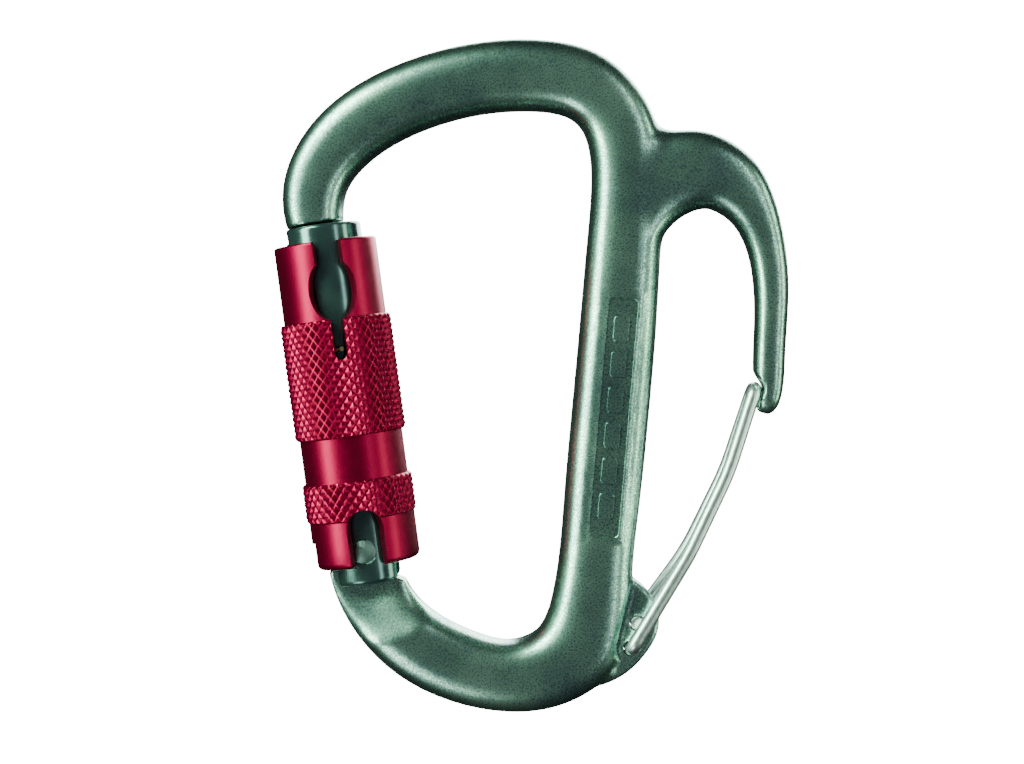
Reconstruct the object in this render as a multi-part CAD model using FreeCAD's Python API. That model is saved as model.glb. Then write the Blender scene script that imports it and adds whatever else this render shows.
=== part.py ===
"""Locking carabiner with a twist-lock sleeve and a braking spur closed by a wire gate.

Frame: the ring lies in the XZ plane, +Z is the load axis (up), +X points from the sleeve
to the spur, and Y is the thickness, with the front at -Y. The origin is the inside
apex of the top bow, where the carabiner hangs. Millimetres.
"""
import FreeCAD, Part
import math
import os

V = FreeCAD.Vector
Y_AXIS = V(0, 1, 0)

# ---- overall sizes -------------------------------------------------------------------
frame_width = 80.0          # outside of the sleeve side to outside of the spur
frame_height = 105.6        # outside of the top bow to outside of the bottom bow
drawn_width = 80.0          # the width and height at which the stations below are written
drawn_height = 105.6

# ---- frame ---------------------------------------------------------------------------
bar_thickness = 10.0        # front to back
section_power = 2.7         # roundness of the bar's section: 2 is an ellipse, more is squarer
tang_thickness = 4.9        # the thin end of the frame between the gate's ears
tang_radius = 5.3
relief_run = 8.5            # length of the slope from the tang up to the full bar
lug_thickness = 4.4
lug_edge_radius = 0.7
recess_depth = 0.35         # shallow panel along the spine
recess_width = 4.6
recess_top_place = (16.1, -29.5)
recess_low_place = (12.9, -66.5)
raised_bars = 6             # generic bars inside the panel
raised_bar_share = 0.72     # of their pitch
panel_end_margin = 2.0
panel_side_margin = 1.1
notch_slope = 34.0          # degrees from the load line, of the spur's inner side above its tip

# ---- gate ----------------------------------------------------------------------------
hinge_place = (-24.2, -68.7)    # centre of the hinge rivet, as drawn
nose_place = (-31.1, -17.97)    # centre of the barrel's top, as drawn
barrel_radius = 5.95
barrel_edge = 0.5
ear_drop = 5.2              # from the rivet to the foot of the ears
ear_half_width = 4.6
gate_opening_deg = 26.0
rivet_radius = 1.5
rivet_head_radius = 1.85
rivet_head_height = 0.45
rivet_seat_drop = 0.25      # flat seat of each head, below the barrel's round side
plunger_radius = 2.3
plunger_length = 5.5
plunger_stem_radius = 1.1
plunger_stem_length = 3.5
cam_rest_height = 5.6       # rivet centre to the plunger's face, gate closed
cam_rise = 2.0              # plunger travel per radian of gate opening
cam_gap = 0.04
closing_spring_space = 15.0
closing_spring_wire = 0.35  # radius of its wire
closing_spring_turns = 11
plug_length = 3.0

# ---- nose key and its slot in the barrel's top ------------------------------------------
key_neck = 1.3              # half width at its root
key_foot = 2.1              # half width at its end
key_left = -4.6             # how far the key reaches to each side of the gate's axis
key_right = 1.6

# ---- sleeve --------------------------------------------------------------------------
sleeve_gap = 0.45           # barrel to the sleeve's bore
sleeve_turn = 6.5           # degrees that the windows face away from the front, locked
sleeve_top_gap = 2.7        # barrel showing above the sleeve
sleeve_foot = -2.25         # lower rim, measured along the gate from the rivet
foot_wall = 1.9             # wall of each band, from the foot up, and where it ends along the gate
foot_end = 5.05
low_knurl_wall = 2.35
low_knurl_end = 11.1
middle_wall = 1.7
middle_end = 18.0
high_knurl_wall = 2.4
top_band_wall = 1.65
top_band_height = 12.2      # sleeve's top rim down to the tall knurled band
keyhole_drop = 7.7          # rim to the centre of the oval window
keyhole_half_length = 4.8
keyhole_half_width = 4.15
keyhole_channel = 4.6
keyhole_slot = 1.95
keyhole_depth = 18.7        # rim to the slot's pointed end
notch_half_width = 3.05
notch_top = 6.6
step_face = 0.6             # flat step at the foot's outer back, as a share of the foot's radius
step_height = 4.2
step_front = 2.6
return_spring_wire = 0.35
return_spring_bottom = 14.6
return_spring_drop = 16.5   # rim to the spring's top
return_spring_turns = 9
return_spring_leg = 1.15    # straight end of its upper leg
slot_leg_place = 0.3        # the leg's distance from the slot's middle line
seat_depth = 0.65           # barrel's reduced radius under the spring
retaining_ring_bottom = 12.0
retaining_ring_height = 0.7
ring_groove = 0.6           # depth of the ring's groove in the barrel
ring_proud = 0.75
ring_split = 3.0
guide_pin_radius = 1.0
guide_pin_height = 8.6
guide_pin_proud = 0.9

# ---- wire gate -----------------------------------------------------------------------
wire_radius = 1.1
wire_clearance = 0.07       # in its holes
front_tail_place = (17.4, -84.2)
rear_tail_place = (18.4, -80.3)
loop_place = (36.85, -43.6)
loop_half_gap = 1.55        # wire centre to the middle plane at the loop
bow_places = [(26.4, -69.4), (32.6, -56.6)]     # where each leg bends on its way up
bow_squeeze = [0.35, 1.1]   # how far the legs have closed in at each bend
leg_bend_radius = 40.0
tail_bend_radius = 1.35
wire_lug_gap = 0.25

# ---- clearances ----------------------------------------------------------------------
running = 0.06              # a shaft in its hole
joint_gap = 0.3             # moving faces that are not a fit
sweep_gap = 0.4             # frame to anything that swings past it
nose_gap = 0.12             # frame's nose to the corner of the barrel's top as it swings
fork_gap = 0.15             # tang to each ear
seat_gap = 0.1              # small pieces in their grooves and seats


def place(x, z):
    """A drawn position at the present overall size."""
    return x * frame_width / drawn_width, z * frame_height / drawn_height


def point(x, z, y=0.0):
    return V(x, y, z)


# ---- derived places ------------------------------------------------------------------
hinge_x, hinge_z = place(*hinge_place)
nose_x, nose_z = place(*nose_place)
hinge = point(hinge_x, hinge_z)
gate_length = math.hypot(nose_x - hinge_x, nose_z - hinge_z)
gate_lean = math.degrees(math.atan2(hinge_x - nose_x, nose_z - hinge_z))
top_corner = math.hypot(gate_length, barrel_radius - barrel_edge)
sleeve_top = gate_length - sleeve_top_gap
sleeve_bore = barrel_radius + sleeve_gap
top_band_radius = sleeve_bore + top_band_wall
high_knurl_end = sleeve_top - top_band_height
return_spring_seat = barrel_radius - seat_depth
return_spring_top = sleeve_top - return_spring_drop
ring_top = retaining_ring_bottom + retaining_ring_height
pin_root = plunger_radius + guide_pin_proud
ear_face = barrel_radius - rivet_seat_drop
plunger_face = cam_rest_height + cam_gap
spring_bottom = plunger_face + plunger_length
plug_bottom = spring_bottom + closing_spring_space
bore_top = plug_bottom + plug_length
sleeve_corner = math.hypot(sleeve_top, top_band_radius)
nose_face_radius = top_corner + nose_gap
slot_floor_radius = sleeve_corner + 0.05
key_foot_radius = slot_floor_radius + joint_gap
slot_top = math.hypot(cam_rest_height + cam_rise * math.radians(gate_opening_deg), cam_rise) + joint_gap
front_tail_x, front_tail_z = place(*front_tail_place)
rear_tail_x, rear_tail_z = place(*rear_tail_place)
loop_x, loop_z = place(*loop_place)
lug_half = lug_thickness / 2
leg_offset = lug_half + wire_lug_gap + wire_radius


def up_gate(opening_deg):
    """Unit direction from the rivet to the barrel's top when the gate is open this far."""
    angle = math.radians(opening_deg - gate_lean)
    return V(math.sin(angle), 0, math.cos(angle))


def across_gate(opening_deg):
    angle = math.radians(opening_deg - gate_lean)
    return V(math.cos(angle), 0, -math.sin(angle))


def on_gate(shape):
    """Move a piece modelled along +Z from the rivet onto the closed gate."""
    moved = shape.copy()
    moved.rotate(V(0, 0, 0), Y_AXIS, -gate_lean)
    moved.translate(hinge)
    return moved


def turned(shape):
    """The locked sleeve's place about its axis."""
    return shape.rotated(V(0, 0, 0), V(0, 0, 1), sleeve_turn)


def tube(outer, inner, bottom, top):
    ring = Part.makeCylinder(outer, top - bottom, V(0, 0, bottom))
    return ring.cut(Part.makeCylinder(inner, top - bottom, V(0, 0, bottom)))


def rod_y(radius, x, z, y_from, y_to):
    return Part.makeCylinder(radius, y_to - y_from, V(x, y_from, z), Y_AXIS)


def prism_y(points, y_from, y_to):
    """A flat outline in XZ, given as vectors, pushed through Y."""
    wire = Part.makePolygon([V(p.x, y_from, p.z) for p in points + points[:1]])
    return Part.Face(wire).extrude(V(0, y_to - y_from, 0))


def section(x, z, width, thickness, heading):
    """Closed rounded section across the bar, which runs along heading, degrees from +X in XZ."""
    turn = math.radians(heading)
    across = V(-math.sin(turn), 0, math.cos(turn))
    steps = 16
    ring = []
    for k in range(steps):
        angle = 2 * math.pi * k / steps
        side = math.copysign(abs(math.cos(angle)) ** (2 / section_power), math.cos(angle))
        front = math.copysign(abs(math.sin(angle)) ** (2 / section_power), math.sin(angle))
        ring.append(point(x, z) + across * (side * width / 2) + Y_AXIS * (front * thickness / 2))
    curve = Part.BSplineCurve()
    curve.interpolate(ring, PeriodicFlag=True)
    return Part.Wire(curve.toShape())


def bar(stations):
    """Loft through stations of (x, z, width, thickness, heading)."""
    wires = []
    for x, z, width, thickness, heading in stations:
        across_x, along_z = place(x, z)
        wires.append(section(across_x, along_z, width, thickness, heading))
    return Part.makeLoft(wires, True, False)


def with_headings(centres):
    """Give each (x, z, width) the direction of the smooth line through all of them."""
    line = Part.BSplineCurve()
    line.interpolate([point(x, z) for x, z, width in centres])
    stations = []
    for x, z, width in centres:
        along = line.tangent(line.parameter(point(x, z)))[0]
        heading = math.degrees(math.atan2(along.z, along.x))
        stations.append((x, z, width, bar_thickness, heading))
    return stations


# Centre line and width of the ring, from the nose round the spine to the hinge end.
ring_centres = [
    (-31.5, -22.5, 8.8), (-32.3, -17.4, 9.0), (-32.3, -12.3, 9.9), (-30.2, -7.4, 10.4),
    (-24.6, -1.8, 11.0), (-16.3, 2.5, 11.2), (-6.6, 5.1, 11.3), (2.8, 5.6, 11.3),
    (10.4, 3.8, 11.2), (15.3, -1.6, 11.2), (16.9, -9.5, 11.4), (16.4, -20.5, 11.7),
    (15.4, -34.0, 12.1), (14.2, -47.5, 12.2), (12.9, -61.0, 12.0), (11.8, -72.0, 11.9),
    (11.0, -78.6, 12.8), (9.2, -83.9, 13.4), (4.4, -87.6, 12.2), (-2.0, -88.75, 11.2),
    (-9.0, -87.3, 11.4), (-15.9, -83.9, 11.4), (-21.2, -78.8, 11.1), (-24.2, -72.6, 11.2),
    (-24.6, -66.0, 11.2),
]

# The spur: a hook that leaves the spine, flares at its root and thins towards its tip.
spur_stations = [
    (17.5, -14.5, 26.0, 9.0, 0.0), (21.0, -12.6, 21.0, 9.4, 0.0), (24.0, -10.5, 15.0, 9.3, -1.0),
    (28.8, -9.4, 12.4, 9.0, -8.0), (33.5, -11.5, 10.3, 8.4, -36.0), (36.5, -15.3, 7.9, 7.7, -58.0),
    (38.5, -20.5, 6.2, 7.1, -74.0), (39.4, -26.0, 5.6, 6.7, -85.0), (39.5, -32.0, 5.2, 6.3, -91.0),
    (39.2, -38.5, 5.0, 5.9, -94.0), (39.0, -43.5, 4.7, 5.2, -98.0), (38.6, -46.3, 3.6, 4.0, -104.0),
    (38.3, -47.5, 1.4, 1.8, -106.0),
]


def rim_line(opening_deg, reach):
    """A point of the sleeve's lower rim plane, a sweep gap under it."""
    return hinge + up_gate(opening_deg) * (sleeve_foot - sweep_gap) + across_gate(opening_deg) * reach


def hinge_relief(side):
    """The thinning of the bar towards the tang, a cone about the rivet, on one face (-1 or 1)."""
    ear_corner = math.hypot(ear_drop, ear_half_width) + joint_gap
    outer = bar_thickness / 2 + sweep_gap
    rows = [(0, tang_thickness / 2), (ear_corner, tang_thickness / 2),
            (ear_corner + relief_run, outer), (0, outer)]
    outline = [V(radius, side * depth, 0) for radius, depth in rows]
    face = Part.Face(Part.makePolygon(outline + outline[:1]))
    cone = face.revolve(V(0, 0, 0), Y_AXIS, 360)
    cone.translate(hinge)
    return cone


def cam():
    """Lobe on the tang whose height under the plunger grows evenly as the gate opens."""
    steps = 8
    lobe = [hinge]
    for k in range(steps + 1):
        opening = gate_opening_deg * k / steps
        height = cam_rest_height + cam_rise * math.radians(opening)
        lobe.append(hinge + up_gate(opening) * height + across_gate(opening) * cam_rise)
    first = hinge + up_gate(0) * cam_rest_height - across_gate(0) * 1.5
    lobe.insert(1, first)
    return prism_y(lobe, -tang_thickness / 2, tang_thickness / 2)


def swept_key(neck, foot, foot_radius, top_radius, left, right):
    """Dovetail section swept about the rivet, between two offsets from the gate's axis."""
    rows = [(-neck, top_radius), (neck, top_radius), (foot, foot_radius), (-foot, foot_radius)]
    start = math.degrees(left / gate_length)
    end = math.degrees(right / gate_length)
    outline = [V(0, half, radius) for half, radius in rows]
    face = Part.Face(Part.makePolygon(outline + outline[:1]))
    face.rotate(V(0, 0, 0), Y_AXIS, start - gate_lean)
    solid = face.revolve(V(0, 0, 0), Y_AXIS, end - start)
    solid.translate(hinge)
    return solid


def lug_plate():
    """Thin plate outside the lower corner that carries both ends of the wire."""
    edge = [(15.5, -72.6), (17.75, -73.4), (19.9, -75.2), (21.6, -78.2), (21.7, -81.2), (19.9, -84.9),
            (16.5, -88.3), (12.4, -90.2)]
    corners = [point(*place(x, z)) for x, z in edge]
    curve = Part.BSplineCurve()
    curve.interpolate(corners)
    inside = [point(*place(9.0, -86.0)), point(*place(11.5, -73.5))]
    rim = [curve.toShape(), Part.makeLine(corners[-1], inside[0]), Part.makeLine(inside[0], inside[1]),
           Part.makeLine(inside[1], corners[0])]
    plate = Part.Face(Part.Wire(rim)).extrude(V(0, lug_thickness, 0))
    plate.translate(V(0, -lug_half, 0))
    outer = [e for e in plate.Edges if e.Curve.TypeId == "Part::GeomBSplineCurve"]
    return plate.makeFillet(lug_edge_radius, outer)


def lug_pocket(side):
    """Room beside the lug's plate for one leg of the wire, milled into the bar's outer edge."""
    top = point(*place(17.9, -72.4))
    low = point(*place(15.1, -83.4))
    bend = point(*place(15.3, -85.9))
    exit_end = point(*place(17.3, -88.0))
    outside = place(26.0, -80.0)[0]
    rim = [Part.makeLine(top, low), Part.Arc(low, bend, exit_end).toShape(),
           Part.makeLine(exit_end, point(outside, exit_end.z)),
           Part.makeLine(point(outside, exit_end.z), point(outside, top.z)),
           Part.makeLine(point(outside, top.z), top)]
    pocket = Part.Face(Part.Wire(rim)).extrude(V(0, bar_thickness, 0))
    pocket.translate(V(0, lug_half if side > 0 else -lug_half - bar_thickness, 0))
    return pocket


def loop_notch():
    """Seat of the wire's loop in the spur's inner side, open towards the spine, with room for the legs."""
    seat_radius = wire_radius + joint_gap
    centre = point(loop_x, loop_z)
    bow_x, bow_z = place(*bow_places[1])
    down = V(bow_x - loop_x, 0, bow_z - loop_z).normalize()
    out = V(-down.z, 0, down.x)
    lean = math.radians(notch_slope)
    slope = V(-math.sin(lean), 0, math.cos(lean))
    brow = centre + V(slope.z, 0, -slope.x) * seat_radius
    far = 6 * seat_radius
    low = down * far
    high = slope * (far / 2)
    mouth = prism_y([centre + out * seat_radius, centre + out * seat_radius + low, centre - out * far + low,
                     centre - out * far + high, brow + high, brow], -bar_thickness, bar_thickness)
    return mouth.fuse(rod_y(seat_radius, loop_x, loop_z, -bar_thickness, bar_thickness))


def spine_panel(side):
    """Shallow long recess with generic raised bars, along the spine's front or back."""
    top_x, top_z = place(*recess_top_place)
    low_x, low_z = place(*recess_low_place)
    along = (V(low_x, 0, low_z) - V(top_x, 0, top_z)).normalize()
    across = V(-along.z, 0, along.x)
    half = recess_width / 2
    length = math.hypot(low_x - top_x, low_z - top_z)
    start = V(top_x, 0, top_z)
    y_floor = side * (bar_thickness / 2 - recess_depth)
    y_out = side * bar_thickness
    y_low, y_high = min(y_floor, y_out), max(y_floor, y_out)

    def block(begin, end, half_width):
        rim = [start + along * begin - across * half_width, start + along * begin + across * half_width,
               start + along * end + across * half_width, start + along * end - across * half_width]
        return prism_y(rim, y_low, y_high)

    panel = block(0, length, half)
    pitch = (length - 2 * panel_end_margin) / raised_bars
    for k in range(raised_bars):
        begin = panel_end_margin + pitch * (k + (1 - raised_bar_share) / 2)
        panel = panel.cut(block(begin, begin + pitch * raised_bar_share, half - panel_side_margin))
    return panel


def frame_shape():
    ring = bar(with_headings(ring_centres))
    half_zone = gate_length / 2
    nose_zone = Part.makeBox(half_zone, 2 * bar_thickness, 2 * half_zone,
                             V(nose_x - half_zone / 2, -bar_thickness, nose_z - half_zone))
    nose_room = rod_y(nose_face_radius, hinge_x, hinge_z, -bar_thickness, bar_thickness).common(nose_zone)
    half_open = gate_opening_deg / 2
    depth = (sleeve_foot - sweep_gap) / math.cos(math.radians(half_open))
    reach = sleeve_bore * 2.4
    lift = V(0, 0, gate_length / 2)
    rim_room = prism_y([rim_line(0, -reach), hinge + up_gate(half_open) * depth,
                        rim_line(gate_opening_deg, reach), rim_line(gate_opening_deg, reach) + lift,
                        rim_line(0, -reach) + lift], -bar_thickness, bar_thickness)
    ring = ring.cut(nose_room).cut(rim_room)
    for side in (-1, 1):
        ring = ring.cut(lug_pocket(side)).cut(hinge_relief(side))
    tang = rod_y(tang_radius, hinge_x, hinge_z, -tang_thickness / 2, tang_thickness / 2)
    key = swept_key(key_neck, key_foot, key_foot_radius, nose_face_radius + 1.0, key_left, key_right)
    body = ring
    for piece in (tang, cam(), key, lug_plate(), bar(spur_stations).cut(loop_notch())):
        body = body.fuse(piece)
    for side in (-1, 1):
        body = body.cut(spine_panel(side))
    wire_hole = wire_radius + wire_clearance
    for radius, x, z in ((rivet_radius + running, hinge_x, hinge_z), (wire_hole, front_tail_x, front_tail_z),
                         (wire_hole, rear_tail_x, rear_tail_z)):
        body = body.cut(rod_y(radius, x, z, -bar_thickness, bar_thickness))
    return body.removeSplitter()


def gate_barrel():
    """Round gate: forked over the tang, bored for its spring, slotted for the nose key."""
    slot_half = tang_thickness / 2 + fork_gap
    body = Part.makeCylinder(barrel_radius, gate_length + ear_drop, V(0, 0, -ear_drop))
    body = body.makeChamfer(barrel_edge, [e for e in body.Edges if len(e.Vertexes) == 1])
    wide = 2 * barrel_radius
    body = body.cut(Part.makeBox(2 * wide, 2 * slot_half, slot_top + 2 * ear_drop,
                                 V(-wide, -slot_half, -2 * ear_drop)))
    for side in (-1, 1):
        flat = Part.makeBox(wide, 2 * wide, ear_drop + 2.0, V(0, -wide, -ear_drop))
        flat.translate(V(ear_half_width if side > 0 else -ear_half_width - wide, 0, 0))
        body = body.cut(flat)
    body = body.cut(Part.makeCylinder(plunger_radius + running, bore_top))
    body = body.cut(tube(wide, barrel_radius - ring_groove, retaining_ring_bottom, ring_top))
    body = body.cut(tube(wide, return_spring_seat, return_spring_bottom, return_spring_top))
    body = body.cut(Part.makeCylinder(guide_pin_radius, wide, V(0, pin_root, guide_pin_height), Y_AXIS))
    body = body.cut(rod_y(rivet_radius, 0, 0, -wide, wide))
    body = on_gate(body)
    slot = swept_key(key_neck + joint_gap, key_foot + joint_gap, slot_floor_radius, nose_face_radius + 1.0,
                     -2 * barrel_radius, key_right + joint_gap)
    return body.cut(slot)


def head_room(radius, side):
    """Cylinder about the rivet's axis, outwards from one ear's face (-1 or 1)."""
    ends = sorted([side * ear_face, side * 2 * barrel_radius])
    return rod_y(radius, 0, 0, ends[0], ends[1])


def hinge_rivet():
    """Rivet with a low domed head on each ear, level with the barrel."""
    dome_radius = (rivet_head_radius ** 2 + rivet_head_height ** 2) / (2 * rivet_head_height)
    body = rod_y(rivet_radius, 0, 0, -ear_face, ear_face)
    for side in (-1, 1):
        ball = Part.makeSphere(dome_radius, V(0, side * (ear_face + rivet_head_height - dome_radius), 0))
        body = body.fuse(ball.common(head_room(rivet_head_radius, side)))
    return body


def ear_seats(barrel):
    """Flat seats for the rivet's heads."""
    for side in (-1, 1):
        barrel = barrel.cut(head_room(rivet_head_radius + seat_gap, side).translated(hinge))
    return barrel


def gate_plunger():
    """Plunger whose flat face rides on the cam and whose stem guides the closing spring."""
    head = Part.makeCylinder(plunger_radius, plunger_length, V(0, 0, plunger_face))
    stem = Part.makeCylinder(plunger_stem_radius, plunger_stem_length, V(0, 0, spring_bottom))
    return head.fuse(stem)


def helix_edges(mean_radius, bottom, top, turns):
    """Helix along +Z, one edge a turn, that starts and ends at angle 0."""
    pitch = (top - bottom) / turns
    edges = []
    for k in range(turns):
        turn = Part.makeHelix(pitch, pitch, mean_radius)
        turn.translate(V(0, 0, bottom + k * pitch))
        edges += turn.Edges
    return edges


def sweep_wire(spine, wire, start):
    """Round wire along a path that starts at a point, heading nearly along +Y."""
    ring = Part.Wire(Part.makeCircle(wire, start, Y_AXIS))
    return spine.makePipeShell([ring], True, True)


def closing_spring():
    mean = plunger_radius - closing_spring_wire - seat_gap
    low = spring_bottom + closing_spring_wire
    edges = helix_edges(mean, low, plug_bottom - closing_spring_wire, closing_spring_turns)
    return sweep_wire(Part.Wire(edges), closing_spring_wire, V(mean, 0, low))


def bore_plug():
    return Part.makeCylinder(plunger_radius + running, plug_length, V(0, 0, plug_bottom))


def guide_pin():
    length = barrel_radius + guide_pin_proud - pin_root
    return Part.makeCylinder(guide_pin_radius, length, V(0, pin_root, guide_pin_height), Y_AXIS)


def retaining_ring():
    ring = tube(barrel_radius + ring_proud, barrel_radius - ring_groove, retaining_ring_bottom, ring_top)
    gap = Part.makeBox(ring_split, 2 * barrel_radius, 2 * retaining_ring_height,
                       V(-ring_split / 2, 0, retaining_ring_bottom - retaining_ring_height / 2))
    return ring.cut(gap)


def return_spring():
    """Torsion spring round the barrel whose upper leg bends outwards and shows in the keyhole's slot."""
    wire = return_spring_wire
    mean = (return_spring_seat + sleeve_bore) / 2
    low = return_spring_bottom + seat_gap + wire
    high = return_spring_top - seat_gap - wire
    bend = 2 * wire
    edges = helix_edges(mean, low, high, return_spring_turns)
    climb = (high - low) / return_spring_turns / (2 * math.pi * mean)
    start = V(mean, 0, high)
    along = V(0, 1, climb).normalize()
    out = V(1, 0, 0)
    centre = start + out * bend
    middle = centre - (out - along) * (bend / math.sqrt(2))
    end = centre + along * bend
    edges.append(Part.Arc(start, middle, end).toShape())
    edges.append(Part.makeLine(end, end + out * return_spring_leg))
    body = sweep_wire(Part.Wire(edges), wire, V(mean, 0, low))
    body.rotate(V(0, 0, 0), V(0, 0, 1), -90 - math.degrees((bend - slot_leg_place) / mean))
    return body


def radial_cutter(outline, radius):
    """Push an outline in (x, height) from the sleeve's axis out through its front, widening with y."""
    wires = []
    for depth in (1.0, radius + 2):
        ring = [V(x * depth / radius, -depth, height) for x, height in outline]
        wires.append(Part.makePolygon(ring + ring[:1]))
    return Part.makeLoft(wires, True, True)


def keyhole_outline():
    """Channel from the rim, oval window and narrow slot with a pointed end."""
    centre = sleeve_top - keyhole_drop
    right = [(keyhole_channel / 2, sleeve_top + 1)]
    first = math.asin(keyhole_channel / 2 / keyhole_half_width)
    last = math.pi - math.asin(keyhole_slot / 2 / keyhole_half_width)
    steps = 14
    for k in range(steps + 1):
        angle = first + (last - first) * k / steps
        right.append((keyhole_half_width * math.sin(angle), centre + keyhole_half_length * math.cos(angle)))
    slot_end = sleeve_top - keyhole_depth
    right.append((keyhole_slot / 2, slot_end + keyhole_slot / 2))
    right.append((0.0, slot_end))
    left = [(-x, height) for x, height in reversed(right[:-1])]
    return right + left


def u_outline():
    steps = 12
    arch = []
    for k in range(steps + 1):
        angle = math.pi * k / steps
        arch.append((notch_half_width * math.cos(angle),
                     notch_top - notch_half_width + notch_half_width * math.sin(angle)))
    return [(notch_half_width, sleeve_foot - 1)] + arch + [(-notch_half_width, sleeve_foot - 1)]


def locking_sleeve():
    """Sleeve of five bands; its lower rim is rounded, notched at the front and stepped outside."""
    walls = [(foot_wall, foot_end), (low_knurl_wall, low_knurl_end), (middle_wall, middle_end),
             (high_knurl_wall, high_knurl_end), (top_band_wall, sleeve_top)]
    bands = [(sleeve_bore + wall, end) for wall, end in walls]
    foot_radius = bands[0][0]
    edge = 0.3
    profile = [V(sleeve_bore, 0, sleeve_foot), V(foot_radius - 3 * edge, 0, sleeve_foot),
               V(foot_radius - edge, 0, sleeve_foot + edge), V(foot_radius, 0, sleeve_foot + 3 * edge)]
    for number, (radius, end) in enumerate(bands[:-1]):
        following = bands[number + 1][0]
        profile += [V(radius, 0, end - (edge if radius > following else 0)),
                    V(following, 0, end + (edge if following > radius else 0))]
    profile += [V(top_band_radius, 0, sleeve_top - edge), V(top_band_radius - edge, 0, sleeve_top),
                V(sleeve_bore, 0, sleeve_top)]
    face = Part.Face(Part.makePolygon(profile + profile[:1]))
    body = face.revolve(V(0, 0, 0), V(0, 0, 1), 360)
    body = body.cut(radial_cutter(keyhole_outline(), top_band_radius))
    body = body.cut(radial_cutter(u_outline(), foot_radius))
    side = step_face * foot_radius
    body = body.cut(Part.makeBox(foot_radius, 2 * foot_radius, step_height,
                                 V(-side - foot_radius, -step_front, sleeve_foot)))
    ring_room = barrel_radius + ring_proud + seat_gap
    body = body.cut(Part.makeCylinder(ring_room, retaining_ring_height + 2 * seat_gap,
                                      V(0, 0, retaining_ring_bottom - seat_gap)))
    pin_room = guide_pin_radius + seat_gap
    return body.cut(tube(barrel_radius + guide_pin_proud + seat_gap, barrel_radius,
                         guide_pin_height - pin_room, guide_pin_height + pin_room))


def rounded_path(corners, radii):
    """Straight runs joined by tangent arcs at the inner corners."""
    edges = []
    here = corners[0]
    for k in range(1, len(corners) - 1):
        before = (corners[k - 1] - corners[k]).normalize()
        after = (corners[k + 1] - corners[k]).normalize()
        half_turn = before.getAngle(after) / 2
        setback = radii[k - 1] / math.tan(half_turn)
        start = corners[k] + before * setback
        end = corners[k] + after * setback
        toward = (before + after).normalize()
        middle = corners[k] + toward * (radii[k - 1] / math.sin(half_turn) - radii[k - 1])
        if (start - here).Length > 1e-4:
            edges.append(Part.makeLine(here, start))
        edges.append(Part.Arc(start, middle, end).toShape())
        here = end
    edges.append(Part.makeLine(here, corners[-1]))
    return Part.Wire(edges)


def leg_corners(tail_x, tail_z, side):
    """Bowed leg of the wire gate from its tail to the loop, on one side of the middle plane."""
    corners = [point(tail_x, tail_z, side * leg_offset)]
    for (x, z), squeeze in zip(bow_places, bow_squeeze):
        corners.append(point(*place(x, z), side * (leg_offset - squeeze)))
    return corners


def wire_gate():
    """Front tail, both bowed legs and the hairpin loop, one bent wire."""
    front = leg_corners(front_tail_x, front_tail_z, -1)
    rear = leg_corners(rear_tail_x, rear_tail_z, 1)
    loop = [point(loop_x, loop_z, -loop_half_gap), point(loop_x, loop_z, loop_half_gap)]
    tail = point(front_tail_x, front_tail_z, lug_half)
    corners = [tail] + front + loop + rear[::-1]
    leg_radii = [leg_bend_radius, leg_bend_radius]
    loop_radii = [loop_half_gap - 0.02, loop_half_gap - 0.02]
    radii = [tail_bend_radius] + leg_radii + loop_radii + leg_radii
    path = rounded_path(corners, radii)
    start = Part.Wire(Part.makeCircle(wire_radius, tail, Y_AXIS))
    sweep = path.makePipeShell([start], True, False)
    foot = Part.makeSphere(wire_radius, rear[0])
    return sweep.fuse(foot).removeSplitter()


def rear_tail():
    """The wire's other end in the lug's upper hole, cut off where the leg bends away."""
    return rod_y(wire_radius, rear_tail_x, rear_tail_z, -lug_half + 0.1, lug_half)


def main():
    os.makedirs("parts", exist_ok=True)
    nodes = {
        "frame": frame_shape(),
        "gate_barrel": ear_seats(gate_barrel()),
        "gate_hinge_rivet": hinge_rivet().translated(hinge),
        "gate_plunger": on_gate(gate_plunger()),
        "gate_closing_spring": on_gate(closing_spring()),
        "gate_bore_plug": on_gate(bore_plug()),
        "sleeve_guide_pin": on_gate(guide_pin()),
        "sleeve_retaining_ring": on_gate(retaining_ring()),
        "sleeve_return_spring": on_gate(turned(return_spring())),
        "locking_sleeve": on_gate(turned(locking_sleeve())),
        "wire_gate": wire_gate(),
        "wire_gate_rear_tail": rear_tail(),
    }
    for name, shape in nodes.items():
        shape.exportStep(os.path.join("parts", name + ".step"))
        box = shape.BoundBox
        print(f"{name}: solids {len(shape.Solids)} valid {shape.isValid()} volume {shape.Volume:.2f} "
              f"x {box.XMin:.1f} {box.XMax:.1f} y {box.YMin:.1f} {box.YMax:.1f} "
              f"z {box.ZMin:.1f} {box.ZMax:.1f}")


main()
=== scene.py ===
"""Looks for the locking carabiner: forged frame, knurled red sleeve, glossy gate and bent wire."""
import math

import bmesh
import bpy
import numpy as np
from mathutils import Matrix, Vector


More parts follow.
